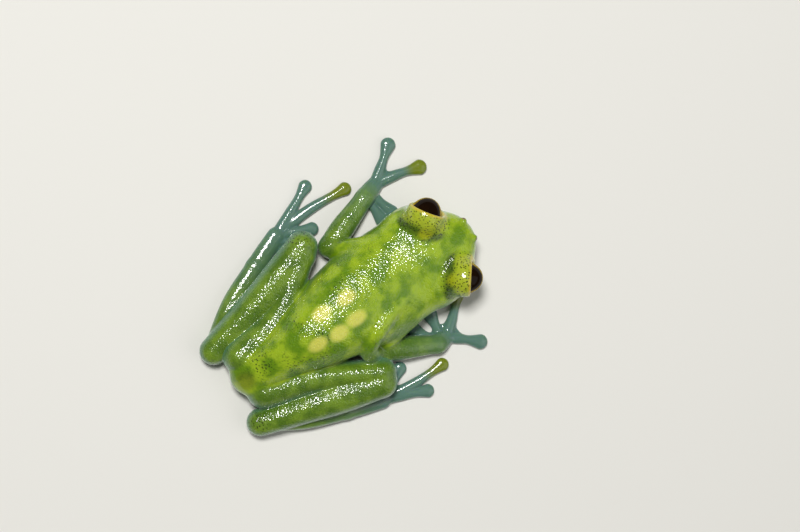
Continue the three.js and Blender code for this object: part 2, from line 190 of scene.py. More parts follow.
@dataclass
class Tube:
    """A limb or digit: ovals along a smooth path, with round ends, in mm.

    Girths are lines of share of the length, half width and half height.
    """

    path: Sequence[Place]
    girths: Sequence[Place]
    steps: int = 20
    line: Array = field(init=False)
    axes: Array = field(init=False)  # sideways, over and ahead at each step
    half: Array = field(init=False)
    tall: Array = field(init=False)

    def __post_init__(self) -> None:
        """Work out the path's directions and girths at even steps."""
        self.line = spline(self.path, self.steps + 1)
        run = np.gradient(self.line, axis=0)
        ahead = run / np.linalg.norm(run, axis=1)[:, None]
        across = np.cross(UP, ahead)
        side = across / np.linalg.norm(across, axis=1)[:, None]
        self.axes = np.array([side, np.cross(ahead, side), ahead])
        share = np.linspace(0, 1, self.steps + 1)
        self.half, self.tall = (hermite(self.girths, column, share) for column in (1, 2))

    def corners(self) -> tuple[Array, Array]:
        """The lowest and highest corners of the form."""
        reach = max(self.half.max(), self.tall.max())
        return self.line.min(axis=0) - reach, self.line.max(axis=0) + reach

    def _nearest(self, at: Axes) -> Array:
        """The place along the path, in steps, that is nearest to each point."""
        shape = np.broadcast(*at).shape
        best = np.full(shape, np.inf, np.float32)
        along = np.zeros(shape, np.float32)
        for i, (start, end) in enumerate(zip(self.line, self.line[1:])):
            length = np.linalg.norm(end - start)
            way = (end - start) / length
            off = [a - s for a, s in zip(at, start)]
            t = np.clip(sum(d * w for d, w in zip(off, way)), 0, length)
            gap = sum((d - t * w) ** 2 for d, w in zip(off, way))
            closer = gap < best
            best = np.where(closer, gap, best)
            along = np.where(closer, i + t / length, along)
        return along

    def measure(self, at: Axes) -> tuple[Array, Array, Array]:
        """Measure places against the limb.

        Args:
            at: The places.

        Returns:
            The signed distance, the share of the length, and the height from -1 under to 1 on top.
        """
        along = self._nearest(at)

        def read(table: Array) -> Array:
            return np.interp(along, np.arange(self.steps + 1), table)

        off = [a - read(self.line[:, i]) for i, a in enumerate(at)]
        parts = [sum(d * read(axis[:, i]) for i, d in enumerate(off)) for axis in self.axes]
        half, tall = read(self.half), read(self.tall)
        length = np.sqrt(sum(part**2 for part in parts)) + TINY
        share = np.sqrt(sum((part / girth) ** 2 for part, girth in zip(parts, (half, tall, half)))) + TINY
        return length - length / share, along / self.steps, parts[1] / tall / share

    def distance(self, at: Axes) -> Array:
        """Signed distance of each place from the limb."""
        return self.measure(at)[0]


@dataclass(frozen=True)
class Trunk:
    """Head and body in one: ovals across the body's length, from snout to vent, in mm."""

    neck: float = -5.6
    head_turn: float = math.radians(1)
    widest: float = 0.42  # level of the widest place, as a share of the height
    square: float = 2.3  # 2 is an oval, and more is squarer
    snout_round: float = 0.9
    low: Place = (-5.2, -12.8, -0.4)
    high: Place = (5.0, 12.7, 6.3)
    nostril: Place = (6.65, 0.9, 3.7)  # ahead of the neck, sideways, height
    # Each line: distance ahead of the neck, half width, top, bottom
    head: tuple[tuple[float, ...], ...] = (
        (1.3, 4.8, 5.15, 0.3),
        (3.1, 4.7, 5.0, 0.6),
        (4.3, 4.1, 4.8, 0.85),
        (5.2, 3.25, 4.58, 1.05),
        (5.8, 2.5, 4.4, 1.2),
        (6.5, 1.7, 4.1, 1.5),
        (6.9, 1.2, 3.85, 1.85),
        (7.05, 0.85, 3.55, 2.15),
    )
    # Each line: Y, half width, top, bottom
    body: tuple[tuple[float, ...], ...] = (
        (-6.0, 4.62, 5.15, 0.05),
        (-4.2, 4.6, 5.4, -0.3),
        (-1.5, 4.55, 5.85, -0.35),
        (1.5, 4.0, 6.15, -0.35),
        (4.5, 3.2, 6.15, -0.35),
        (7.5, 2.3, 5.3, -0.25),
        (10.2, 1.95, 4.15, 0.1),
        (11.9, 1.5, 3.25, 0.75),
        (12.6, 0.85, 2.6, 1.35),
    )

    def rows(self) -> list[tuple[float, ...]]:
        """Snout to vent, each line Y, half width, top and bottom."""
        ahead = [(self.neck - at, half, top, bottom) for at, half, top, bottom in self.head]
        return ahead[::-1] + list(self.body)

    def place(self, ahead: float, side: float, level: float) -> Array:
        """A place on the head, from the distance ahead of the neck, sideways and height."""
        x = side * math.cos(self.head_turn) - ahead * math.sin(self.head_turn)
        y = self.neck - ahead * math.cos(self.head_turn) - side * math.sin(self.head_turn)
        return np.array([x, y, level])

    def nose(self, side: Side, shift: Place = (0, 0, 0)) -> Array:
        """The middle of one nostril's rise, or a place shifted ahead, outward and up from it."""
        ahead, sideways, level = (a + b for a, b in zip(self.nostril, shift))
        return self.place(ahead, side.value * sideways, level)

    def direction(self, outward: float, upward: float, side: Side) -> Array:
        """A direction from the head, turned outward and upward from straight ahead."""
        turn = self.head_turn - side.value * outward
        flat = np.array([-math.sin(turn), -math.cos(turn), 0.0])
        return flat * math.cos(upward) + UP * math.sin(upward)

    def corners(self) -> tuple[Array, Array]:
        """The lowest and highest corners of the form."""
        return np.array(self.low), np.array(self.high)

    def distance(self, at: Axes) -> Array:
        """Signed distance of each place from head and body."""
        x, y, z = at
        rows = self.rows()
        half, top, bottom = (hermite(rows, column, y) for column in (1, 2, 3))
        middle = bottom + (top - bottom) * self.widest
        across = x + np.clip(self.neck - y, 0, None) * math.tan(self.head_turn)
        height = z - middle
        tall = np.where(height > 0, top - middle, middle - bottom)
        share = np.abs(across / half) ** self.square + np.abs(height / tall) ** self.square
        length = np.sqrt(across**2 + height**2) + TINY
        around = length - length / (share ** (1 / self.square) + TINY)
        ends = np.maximum(rows[0][0] - y, y - rows[-1][0]) + 0 * around
        return -smooth_union(-around, -ends, self.snout_round)


@dataclass(frozen=True)
class Web:
    """The thin skin stretched between two neighbouring digits, lying on the floor, in mm."""

    first: Array
    second: Array
    reach: float = 0.55  # how much of the digits it joins, as a share
    notch: float = 0.2  # how far its free edge is drawn back to the root, as a share
    low: float = 0.06
    high: float = 0.3
    edge_round: float = 0.15

    def corners(self) -> tuple[Array, Array]:
        """The lowest and highest corners of the form."""
        both = np.vstack([self.first, self.second])
        low, high = both.min(axis=0), both.max(axis=0)
        return np.array([low[0], low[1], 0.0]), np.array([high[0], high[1], self.high])

    def distance(self, at: Axes) -> Array:
        """Signed distance of each place from the web."""
        last = int(round(self.reach * (len(self.first) - 1)))
        notch = (self.first[last] + self.second[last]) / 2
        notch = notch + (self.first[0] - notch) * self.notch
        outline = np.vstack([self.first[: last + 1], notch, self.second[last:0:-1]])[:, :2]
        x, y = np.broadcast_arrays(*at[:2])
        edge = np.full(x.shape, np.inf)
        inside = np.zeros(x.shape, bool)
        for start, end in zip(outline, np.roll(outline, -1, axis=0)):
            run = end - start
            dx, dy = x - start[0], y - start[1]
            t = np.clip((dx * run[0] + dy * run[1]) / (run @ run + TINY * TINY), 0, 1)
            edge = np.minimum(edge, np.hypot(dx - t * run[0], dy - t * run[1]))
            crosses = (start[1] > y) != (end[1] > y)
            inside ^= crosses & (x < start[0] + run[0] * dy / (run[1] + TINY * TINY))
        slab = np.abs(at[2] - (self.low + self.high) / 2) - (self.high - self.low) / 2
        return -smooth_union(-np.where(inside, -edge, edge), -slab, self.edge_round)


@dataclass
class Lattice:
    """Signed distances to the skin on an even lattice of points, in mm."""

    low: Array
    high: Array
    step: float
    values: Array = field(init=False)

    def __post_init__(self) -> None:
        """Start with nothing near."""
        counts = np.ceil((self.high - self.low) / self.step).astype(int) + 1
        self.values = np.full(counts, FAR, np.float32)

    def apply(
        self, corners: tuple[Array, Array], margin: float, change: Callable[[Array, Axes], Array]
    ) -> None:
        """Change the distances in a box.

        Args:
            corners: Lowest and highest corner of the form.
            margin: How far round it the change reaches, in mm.
            change: A function of the old distances and the places that gives the new distances.
        """
        first = np.floor((corners[0] - margin - self.low) / self.step).astype(int)
        last = np.ceil((corners[1] + margin - self.low) / self.step).astype(int) + 1
        first, last = np.maximum(first, 0), np.minimum(last, self.values.shape)
        axes = [self.low[i] + self.step * np.arange(first[i], last[i]) for i in range(3)]
        at = np.meshgrid(*(axis.astype(np.float32) for axis in axes), indexing="ij", sparse=True)
        cells = tuple(slice(a, b) for a, b in zip(first, last))
        self.values[cells] = change(self.values[cells], at)

    def add(self, form: Ball | Tube | Trunk | Web, blend: float) -> None:
        """Join a form to the skin with a fillet about blend wide."""
        margin = blend + 2 * self.step
        self.apply(form.corners(), margin, lambda old, at: smooth_union(old, form.distance(at), blend))

    def skin(self) -> tuple[Array, Array]:
        """Draw the surface where the distance is 0.

        Returns:
            The points in mm, and the faces as rows of four point numbers.
        """
        inside = self.values < 0
        cells = np.array(inside.shape) - 1
        corners = [np.array([i >> 2 & 1, i >> 1 & 1, i & 1]) for i in range(8)]

        def corner(block: Array, c: Array) -> Array:
            return block[tuple(slice(c[i], c[i] + cells[i]) for i in range(3))]

        count = sum(corner(inside, c).astype(np.int8) for c in corners)
        active = np.argwhere((count > 0) & (count < 8))
        around = [self.values[tuple((active + c).T)] for c in corners]
        total = np.zeros((len(active), 3))
        hits = np.zeros(len(active))
        for i, a in enumerate(corners):
            for j, b in enumerate(corners):
                if j <= i or np.abs(a - b).sum() != 1:
                    continue
                crossed = (around[i] < 0) != (around[j] < 0)
                change = np.where(crossed, around[i] - around[j], 1)
                share = np.where(crossed, around[i] / change, 0)
                total += crossed[:, None] * (a + share[:, None] * (b - a))
                hits += crossed
        points = self.low + self.step * (active + total / hits[:, None])
        number = np.full(cells, -1, np.int32)
        number[tuple(active.T)] = np.arange(len(active))
        return points, self._faces(inside, number)

    @staticmethod
    def _faces(inside: Array, number: Array) -> Array:
        """Join the four cells round each lattice edge that the surface crosses."""
        faces: list[Array] = []
        for axis in range(3):
            first, second = [i for i in range(3) if i != axis]
            here = np.moveaxis(inside, (axis, first, second), (0, 1, 2))
            cell = np.moveaxis(number, (axis, first, second), (0, 1, 2))
            leaving = here[:-1, 1:-1, 1:-1] & ~here[1:, 1:-1, 1:-1]
            entering = ~here[:-1, 1:-1, 1:-1] & here[1:, 1:-1, 1:-1]
            for crossed, turned in ((leaving, axis == 1), (entering, axis != 1)):
                i, j, k = np.nonzero(crossed)
                ring = [cell[i, j, k], cell[i, j + 1, k], cell[i, j + 1, k + 1], cell[i, j, k + 1]]
                faces.append(np.stack(ring[::-1] if turned else ring, axis=1))
        return np.vstack(faces)


@dataclass(frozen=True)
class Eye:
    """One eye: its place in the head and the parts that show, in mm."""

    trunk: Trunk
    side: Side
    sideways: float = 3.25
    ahead: float = 3.95
    level: float = 4.45
    radius: float = 1.5
    cornea_radius: float = 1.3
    cornea_bulge: float = 0.35
    outward: float = math.radians(36)
    upward: float = math.radians(10)
    lid_thick: float = 0.2
    lid_edge: float = 0.6  # how far ahead of the eye's centre the lids end
    lid_round: float = 0.12
    lid_flow: float = 0.9  # how widely the lids flow into the head
    lid_reach: float = 1.2  # how far round the lids the head changes
    opening: float = 0.985  # as a share of the eye's radius
    opening_round: float = 0.1
    opening_reach: float = 0.8
    socket_gap: float = 0.02
    socket_round: float = 0.04

    @property
    def centre(self) -> Array:
        """The middle of the eyeball."""
        return self.trunk.place(self.ahead, self.side.value * self.sideways, self.level)

    @property
    def look(self) -> Array:
        """The way that the eye looks."""
        return self.trunk.direction(self.outward, self.upward, self.side)

    def ahead_of(self, at: Axes) -> Array:
        """How far each place lies ahead of the eye's centre, the way that it looks."""
        return sum((a - c) * part for a, c, part in zip(at, self.centre, self.look))

    def add_lids(self, lattice: Lattice) -> None:
        """Raise the lids on the head and open them over the eyeball."""
        socket = Ball(self.centre, self.radius + self.socket_gap)
        dome = Ball(self.centre, socket.radius + self.lid_thick)

        def raise_dome(old: Array, at: Axes) -> Array:
            behind = self.lid_edge - self.ahead_of(at)
            return smooth_union(old, smooth_cut(dome.distance(at), behind, self.lid_round), self.lid_flow)

        def open_lids(old: Array, at: Axes) -> Array:
            depth = self.ahead_of(at)
            far = sum((a - c) ** 2 for a, c in zip(at, self.centre))
            within = self.radius * self.opening - np.sqrt(np.maximum(far - depth * depth, 0))
            ahead = -smooth_union(within, depth - self.lid_edge, self.opening_round)
            carved = smooth_cut(old, ahead, self.lid_round)
            return smooth_cut(carved, socket.distance(at), self.socket_round)

        lattice.apply(dome.corners(), self.lid_reach, raise_dome)
        lattice.apply(dome.corners(), self.opening_reach, open_lids)


@dataclass(frozen=True)
class Flesh:
    """One kind of limb part: its girths, how it joins the skin and how its flesh looks."""

    girths: tuple[Place, ...]  # each line: share of the length, half width and half height in mm
    blend: float  # how widely it flows into the skin made before it, in mm
    steps: int = 20  # along its path
    clear: float = 0.0  # how much clear flesh shows along its sides, from 0 to 1
    pale: Pair = (0.0, 0.0)  # how pale it is at its start and its end, from 0 to 1


FLESH = {
    "upper_arm": Flesh(((0, 1.2, 1.2), (0.6, 0.9, 1.0), (1, 0.85, 0.9)), 0.4, 8),
    "fold": Flesh(((0, 0.82, 0.82), (1, 0.82, 0.82)), 0.25),
    "forearm": Flesh(
        ((0, 0.95, 0.92), (0.35, 1.08, 1.05), (0.8, 0.9, 0.8), (1, 0.82, 0.65)), 0.35, 12, 0.3, (0.0, 0.4)
    ),
    "palm": Flesh(((0, 0.8, 0.6), (0.6, 0.82, 0.52), (1, 0.72, 0.45)), 0.35, 4, 0.6, (0.5, 0.95)),
    "thigh": Flesh(((0, 1.55, 1.75), (0.35, 1.4, 1.75), (0.75, 1.2, 1.45), (1, 1.12, 1.25)), 0.4, 20, 0.85),
    "shank": Flesh(((0, 1.38, 1.25), (0.35, 1.58, 1.4), (0.75, 1.38, 1.3), (1, 1.25, 1.2)), 0.18, 20, 0.85),
    "knee": Flesh(((0, 1.1, 1.2), (1, 1.2, 1.2)), 0.3, 2, 0.6),
    "tarsus": Flesh(((0, 0.9, 0.85), (0.5, 0.83, 0.75), (1, 0.85, 0.62)), 0.14, 20, 0.5, (0.0, 0.5)),
    "foot": Flesh(((0, 0.85, 0.6), (0.5, 0.85, 0.52), (1, 0.8, 0.45)), 0.2, 4, 0.6, (0.5, 0.9)),
}
DIGIT_FLESH = Flesh((), 0.12, 12, 0.0, (1.0, 1.0))  # each digit has girths of its own

# Parts that lie in the body's skin and have its colours
IN_BODY = ("upper_arm", "fold")


@dataclass(frozen=True, kw_only=True)
class Limb:
    """A limb that ends in spread digits, from the innermost, with all lengths in mm."""

    side: Side
    stem: Place  # where the hand or foot starts
    fork: Place  # where its outer digits part
    tips: tuple[Pair, ...]  # X and Y of the digits' ends
    roots: tuple[float, ...]  # where the digits start, as shares of the way from fork to stem
    bows: tuple[float, ...]  # which way and how much a left limb's digits bow, -1 to 1
    webbed: tuple[int, ...]  # digits with a web to the next one
    disc: float  # radius of the discs
    gold_digit: str
    level: float = 0.27  # of the digits' middles
    bend: float = 0.1  # sideways bend of a whole bow, as a share of the digit's length
    half: float = 0.49  # half width of a digit in its middle
    waist: float = 0.41  # half width behind the disc
    tall: float = 0.38
    neck: float = 1.7  # how far back from the tip the waist lies, in radii of the disc

    def paths(self) -> dict[str, tuple[Place, ...]]:
        """The paths of the thick parts, from the body to the fork."""
        raise NotImplementedError

    def tubes(self) -> dict[str, Tube]:
        """The thick parts, and the digits that lie on the floor and end in round discs."""
        made: dict[str, Tube] = {}
        for name, path in self.paths().items():
            made[name] = Tube(path, FLESH[name].girths, FLESH[name].steps)
        for i, (tip, back, bow) in enumerate(zip(self.tips, self.roots, self.bows)):
            start = np.array(self.fork) + back * (np.array(self.stem) - self.fork)
            start[2] = self.level
            end = np.array([*tip, self.level])
            run = end - start
            middle = start + run / 2 + np.cross(UP, run) * self.bend * bow * self.side.value
            neck = 1 - self.neck * self.disc / np.linalg.norm(run)
            girths = (
                (0, self.half * 1.1, self.tall),
                (neck * 0.6, self.half, self.tall),
                (neck, self.waist, self.tall),
                (1, self.disc, self.tall * 0.9),
            )
            made[f"digit_{i}"] = Tube((start, middle, end), girths, DIGIT_FLESH.steps)
        return made


@dataclass(frozen=True, kw_only=True)
class Leg(Limb):
    """One folded hind leg and its foot."""

    thigh: tuple[Place, ...]
    shank: tuple[Place, ...]
    tarsus: tuple[Place, ...]
    roots: tuple[float, ...] = (0.45, 0.28, 0.12, 0, 0)
    bows: tuple[float, ...] = (1, 1, 0.6, 0.35, -0.1)
    webbed: tuple[int, ...] = (2, 3)
    disc: float = 0.62
    gold_digit: str = "digit_3"

    def paths(self) -> dict[str, tuple[Place, ...]]:
        """The paths of the thick parts, from the hip to the fork of the toes."""
        return {
            "thigh": self.thigh,
            "shank": self.shank,
            "knee": (self.thigh[-1], self.shank[0]),
            "tarsus": (*self.tarsus, self.stem),
            "foot": (self.stem, self.fork),
        }


@dataclass(frozen=True, kw_only=True)
class Arm(Limb):
    """One arm and its hand."""

    shoulder: Place
    elbow: Place
    roots: tuple[float, ...] = (0.9, 0.6, 0, 0)
    bows: tuple[float, ...] = (0, 0.3, 0.3, -0.1)
    disc: float = 0.69
    gold_digit: str = "digit_2"
    fold: tuple[Place, ...] = ()  # where the upper arm presses a ridge up on the flank

    def paths(self) -> dict[str, tuple[Place, ...]]:
        """The paths of the thick parts, from the shoulder to the palm."""
        fold = {"fold": self.fold} if self.fold else {}
        return {
            "upper_arm": (self.shoulder, self.elbow),
            **fold,
            "forearm": (self.elbow, self.stem),
            "palm": (self.stem, self.fork),
        }


LEGS = (
    Leg(
        side=Side.LEFT,
        thigh=((1.9, 10.6, 1.9), (3.05, 5.75, 1.9), (6.1, 1.1, 2.15)),
        shank=((6.8, 0.7, 2.15), (5.15, 5.45, 1.95), (3.5, 12.25, 1.3)),
        tarsus=((3.6, 12.1, 0.9), (6.0, 8.65, 0.8)),
        stem=(7.5, 5.05, 0.6),
        fork=(8.7, 2.0, 0.4),
        tips=((7.2, 2.2), (6.85, 0.6), (7.4, -1.0), (8.7, -5.4), (10.85, -2.6)),
    ),
    Leg(
        side=Side.RIGHT,
        thigh=((-1.9, 10.6, 1.9), (-3.6, 5.9, 1.9), (-6.5, 0.95, 2.15)),
        shank=((-7.25, 1.6, 2.15), (-5.95, 5.85, 1.95), (-4.1, 12.4, 1.3)),
        tarsus=((-4.25, 12.2, 0.9), (-6.3, 9.05, 0.8)),
        stem=(-7.75, 5.5, 0.6),
        fork=(-8.85, 2.35, 0.4),
        tips=((-7.45, 2.45), (-7.1, 0.8), (-7.45, -0.55), (-9.35, -3.9), (-10.55, -1.5)),
    ),
)
ARMS = (
    Arm(
        side=Side.LEFT,
        shoulder=(3.3, -3.9, 3.1),
        elbow=(5.35, -1.3, 1.45),
        stem=(7.1, -6.4, 0.8),
        fork=(7.5, -7.8, 0.42),
        tips=((4.6, -6.7), (4.65, -7.7), (6.55, -12.05), (9.75, -10.8)),
        webbed=(2,),
    ),
    Arm(
        side=Side.RIGHT,
        shoulder=(-3.3, -3.9, 3.1),
        elbow=(-4.85, 0.1, 1.45),
        stem=(-7.5, -4.6, 0.8),
        fork=(-7.5, -5.6, 0.42),
        tips=((-5.15, -3.5), (-5.0, -5.5), (-4.9, -8.5), (-9.6, -7.9)),
        webbed=(0, 1, 2),
        fold=(
            (-1.6, -3.9, 4.4),
            (-2.55, -0.9, 5.05),
            (-3.5, 0.8, 4.4),
            (-4.4, 1.0, 2.8),
            (-4.85, 0.1, 1.45),
        ),
    ),
)


def node(tree: NodeTree, kind: str, settings: dict | None = None, links: dict | None = None) -> Node:
    """Add a node to a material.

    Args:
        tree: The material's node tree.
        kind: The node's type, such as "ShaderNodeMath".
        settings: Properties by name, or socket values by number or by name after "in:".
        links: Sockets to feed, by number or name, each from another node's output, or from the
            mesh attribute of the name that stands there.

    Returns:
        The new node.
    """
    made = tree.nodes.new(kind)
    for key, value in (settings or {}).items():
        if isinstance(key, int):
            made.inputs[key].default_value = value
        elif key.startswith("in:"):
            made.inputs[key[3:]].default_value = value
        else:
            setattr(made, key, value)
    for key, source in (links or {}).items():
        if isinstance(source, str):
            source = node(tree, "ShaderNodeAttribute", {"attribute_name": source}).outputs["Fac"]
        tree.links.new(source, made.inputs[key])
    return made


def new_material(name: str, values: dict[str, object]) -> tuple[Material, NodeTree, Node]:
    """Start a material.

    Args:
        name: The material's name.
        values: The shader's constant values, by socket.

    Returns:
        The material, its node tree and its shader node.
    """
    material = bpy.data.materials.new(name)
    material.use_nodes = True
    shader = material.node_tree.nodes["Principled BSDF"]
    for socket, value in values.items():
        shader.inputs[socket].default_value = value
    return material, material.node_tree, shader


# Markings in the order in which they are laid over one another; ring is painted shade in the crease round
# each lid dome, and nostril is painted shade in each nostril's opening
MARKINGS = ("clear", "digit", "belly", "vent", "ring", "patch", "spot", "gold", "rim", "disc", "nostril")


@dataclass(frozen=True)
class WetFrogSkin:
    """Living frog skin, thin, see-through and kept wet by its own glands.

    Light sinks in and comes back soft and yellow-green from the flesh. Where the skin is thin,
    at the sides of the limbs, the webs and the digits, it is clear, bluish and pale at the edge.
    The wet film over fine grains gives a sparkle instead of a plain sheen.
    """

    back: str = "#96b01a"
    back_deep: str = "#5f8400"
    limb: str = "#6f8c22"
    limb_deep: str = "#4e6e12"
    clear: str = "#4f7a58"
    digit: str = "#56796a"
    edge: str = "#bfe0d0"
    belly: str = "#b9c79c"
    vent: str = "#4d4410"
    spot: str = "#d2cf5c"
    # ring: painted shade, the dark green that stands for the shade in the crease round each lid dome
    ring: str = "#3c5605"
    patch: str = "#a9b010"
    gold: str = "#a8b428"
    rim: str = "#bfae30"
    disc: str = "#6f7c12"
    freckle: str = "#161e03"
    # nostril: painted shade, the dark brown that stands for the shade inside each nostril's opening
    nostril: str = "#6a4a14"
    grain_spacing: float = 0.18  # mm between the skin's grains, drawn twice as coarse as real ones
    grain_height: float = 0.042  # mm that a grain stands up
    freckle_spacing: float = 0.22  # mm between black freckles
    freckle_cluster: float = 2.2  # mm across a cluster of freckles
    mottle_size: float = 1.6  # mm across a lighter or darker patch
    light_depth: float = 0.45  # mm that light wanders in the flesh
    flesh_ior: float = 1.4
    film_ior: float = 1.55

    def _colour(self, tree: NodeTree, place: NodeSocket) -> Node:
        """Lay the skin's colours over one another, each where its attribute says."""
        scale = 1 / (self.mottle_size * MM)
        cloud = node(tree, "ShaderNodeTexNoise", {"in:Scale": scale, "in:Detail": 3}, {"Vector": place})
        smooth = {"interpolation_type": "SMOOTHSTEP", 1: 0.36, 2: 0.64}
        mottle = node(tree, "ShaderNodeMapRange", smooth, {0: cloud.outputs["Fac"]}).outputs[0]
        flesh: list[Node] = []
        for deep, light in ((self.back_deep, self.back), (self.limb_deep, self.limb)):
            tones = {"data_type": "RGBA", 6: linear(deep), 7: linear(light)}
            flesh.append(node(tree, "ShaderNodeMix", tones, {0: mottle}))
        links = {0: "limb", 6: flesh[0].outputs[2], 7: flesh[1].outputs[2]}
        colour = node(tree, "ShaderNodeMix", {"data_type": "RGBA"}, links)
        # ring and nostril among these are painted shade, laid like the skin's own colours
        for name in MARKINGS:
            tones = {"data_type": "RGBA", 7: linear(getattr(self, name))}
            colour = node(tree, "ShaderNodeMix", tones, {0: name, 6: colour.outputs[2]})
        return colour

    def _freckles(self, tree: NodeTree, place: NodeSocket) -> Node:
        """Small round black dots in clusters, thick where the freckles attribute is high."""
        scale = 1 / (self.freckle_spacing * MM)
        cells = node(tree, "ShaderNodeTexVoronoi", {"in:Scale": scale}, {"Vector": place})
        scale = 1 / (self.freckle_cluster * MM)
        cloud = node(tree, "ShaderNodeTexNoise", {"in:Scale": scale, "in:Detail": 2}, {"Vector": place})
        sum_up = {0: "freckles", 1: cloud.outputs["Fac"]}
        wanted = node(tree, "ShaderNodeMath", {"operation": "ADD"}, sum_up).outputs[0]
        present = node(tree, "ShaderNodeMapRange", {1: 0.85, 2: 1.1}, {0: wanted}).outputs[0]
        dot = {"interpolation_type": "SMOOTHSTEP", 1: 0.22, 2: 0.42, 3: 0.9, 4: 0.0}
        round_dot = node(tree, "ShaderNodeMapRange", dot, {0: cells.outputs["Distance"]}).outputs[0]
        return node(tree, "ShaderNodeMath", {"operation": "MULTIPLY"}, {0: round_dot, 1: present})

    def _relief(self, tree: NodeTree, place: NodeSocket) -> Node:
        """Stand grains up from the skin where the grain attribute is high."""
        scale = 1 / (self.grain_spacing * MM)
        settings = {"feature": "SMOOTH_F1", "in:Scale": scale, "in:Smoothness": 0.35}
        grains = node(tree, "ShaderNodeTexVoronoi", settings, {"Vector": place}).outputs["Distance"]
        links = {0: grains, 1: "grain"}
        height = node(tree, "ShaderNodeMath", {"operation": "MULTIPLY"}, links).outputs[0]
        settings = {"invert": True, "in:Strength": 1.0, "in:Distance": self.grain_height * MM}
        return node(tree, "ShaderNodeBump", settings, {"Height": height})

    def build(self) -> Material:
        """Make the material.

        Returns:
            The skin's material, which reads the skin mesh's named attributes.
        """
        values = {
            "IOR": self.flesh_ior,
            "Roughness": 0.42,
            "Specular IOR Level": 0.15,
            "Subsurface Weight": 0.5,
            "Subsurface Radius": (0.8, 1.0, 0.25),
            "Subsurface Scale": self.light_depth * MM,
            "Sheen Weight": 0.3,
            "Sheen Roughness": 0.35,
            "Sheen Tint": linear(self.edge),
            "Coat Weight": 1.0,
            "Coat Roughness": 0.12,
            "Coat IOR": self.film_ior,
        }
        material, tree, shader = new_material("wet_frog_skin", values)
        place = node(tree, "ShaderNodeTexCoord").outputs["Object"]
        colour = self._colour(tree, place)
        freckles = self._freckles(tree, place)
        tones = {"data_type": "RGBA", 7: linear(self.freckle)}
        links = {0: freckles.outputs[0], 6: colour.outputs[2]}
        colour = node(tree, "ShaderNodeMix", tones, links)
        tree.links.new(colour.outputs[2], shader.inputs["Base Color"])
        relief = self._relief(tree, place)
        tree.links.new(relief.outputs[0], shader.inputs["Normal"])
        tree.links.new(relief.outputs[0], shader.inputs["Coat Normal"])
        return material


@dataclass(frozen=True)
class FrogEyeball:
    """The eye behind its clear cornea: a very wide brown-black pupil over a gold iris.

    The iris is crossed by a fine dark net. The cornea and its tear film lie close on the pupil,
    so they are a clear coat that gives one crisp light.
    """

    pupil: str = "#0a0401"
    pupil_glow: str = "#1d0e03"
    iris: str = "#bfa41a"
    iris_net: str = "#6b4e08"
    net_size: float = 0.2  # mm across a mesh of the dark net in the iris
    fleck_size: float = 0.5  # mm across a paler cloud in the pupil
    cornea_ior: float = 1.376

    def build(self) -> Material:
        """Make the material, which reads the eyeball mesh's iris attribute."""
        values = {
            "Roughness": 0.5,
            "Specular IOR Level": 0.0,
            "Coat Weight": 0.4,
            "Coat Roughness": 0.02,
            "Coat IOR": self.cornea_ior,
        }
        material, tree, shader = new_material("frog_eyeball", values)
        place = node(tree, "ShaderNodeTexCoord").outputs["Object"]
        scale = 1 / (self.fleck_size * MM)
        cloud = node(tree, "ShaderNodeTexNoise", {"in:Scale": scale, "in:Detail": 2}, {"Vector": place})
        tones = {"data_type": "RGBA", 6: linear(self.pupil), 7: linear(self.pupil_glow)}
        pupil = node(tree, "ShaderNodeMix", tones, {0: cloud.outputs["Fac"]})
        settings = {"feature": "DISTANCE_TO_EDGE", "in:Scale": 1 / (self.net_size * MM)}
        cells = node(tree, "ShaderNodeTexVoronoi", settings, {"Vector": place})
        net = {"interpolation_type": "SMOOTHSTEP", 1: 0.0, 2: 0.16}
        mesh = node(tree, "ShaderNodeMapRange", net, {0: cells.outputs["Distance"]})
        tones = {"data_type": "RGBA", 6: linear(self.iris_net), 7: linear(self.iris)}
        iris = node(tree, "ShaderNodeMix", tones, {0: mesh.outputs[0]})
        links = {0: "iris", 6: pupil.outputs[2], 7: iris.outputs[2]}
        colour = node(tree, "ShaderNodeMix", {"data_type": "RGBA"}, links)
        tree.links.new(colour.outputs[2], shader.inputs["Base Color"])
        return material


@dataclass(frozen=True)
class MattPaper:
    """Uncoated background paper, rolled out: even, pale and without gloss."""

    tone: str = "#dedcd5"

    def build(self) -> Material:
        """Make the material."""
        return new_material("matt_paper", {"Base Color": linear(self.tone), "Roughness": 0.95})[0]


def place_object(name: str, data: bpy.types.ID) -> Object:
    """Put data, such as a mesh, in the scene under a name."""
    made = bpy.data.objects.new(name, data)
    bpy.context.scene.collection.objects.link(made)
    return made


def make_object(name: str, points: Array, faces: Iterable[Sequence[int]]) -> Object:
    """Put a smooth mesh in the scene.

    Args:
        name: The object's name.
        points: Rows of x, y, z in mm.
        faces: Rows of point numbers.

    Returns:
        The new object, in metres.
    """
    mesh = bpy.data.meshes.new(name)
    mesh.from_pydata((points * MM).tolist(), [], [tuple(f) for f in faces])
    mesh.shade_smooth()
    return place_object(name, mesh)


def set_attribute(thing: Object, name: str, values: Array) -> None:
    """Store one number for each point of a mesh under a name."""
    store = thing.data.attributes.new(name, "FLOAT", "POINT")
    store.data.foreach_set("value", np.clip(values, 0, 1).astype(np.float32))


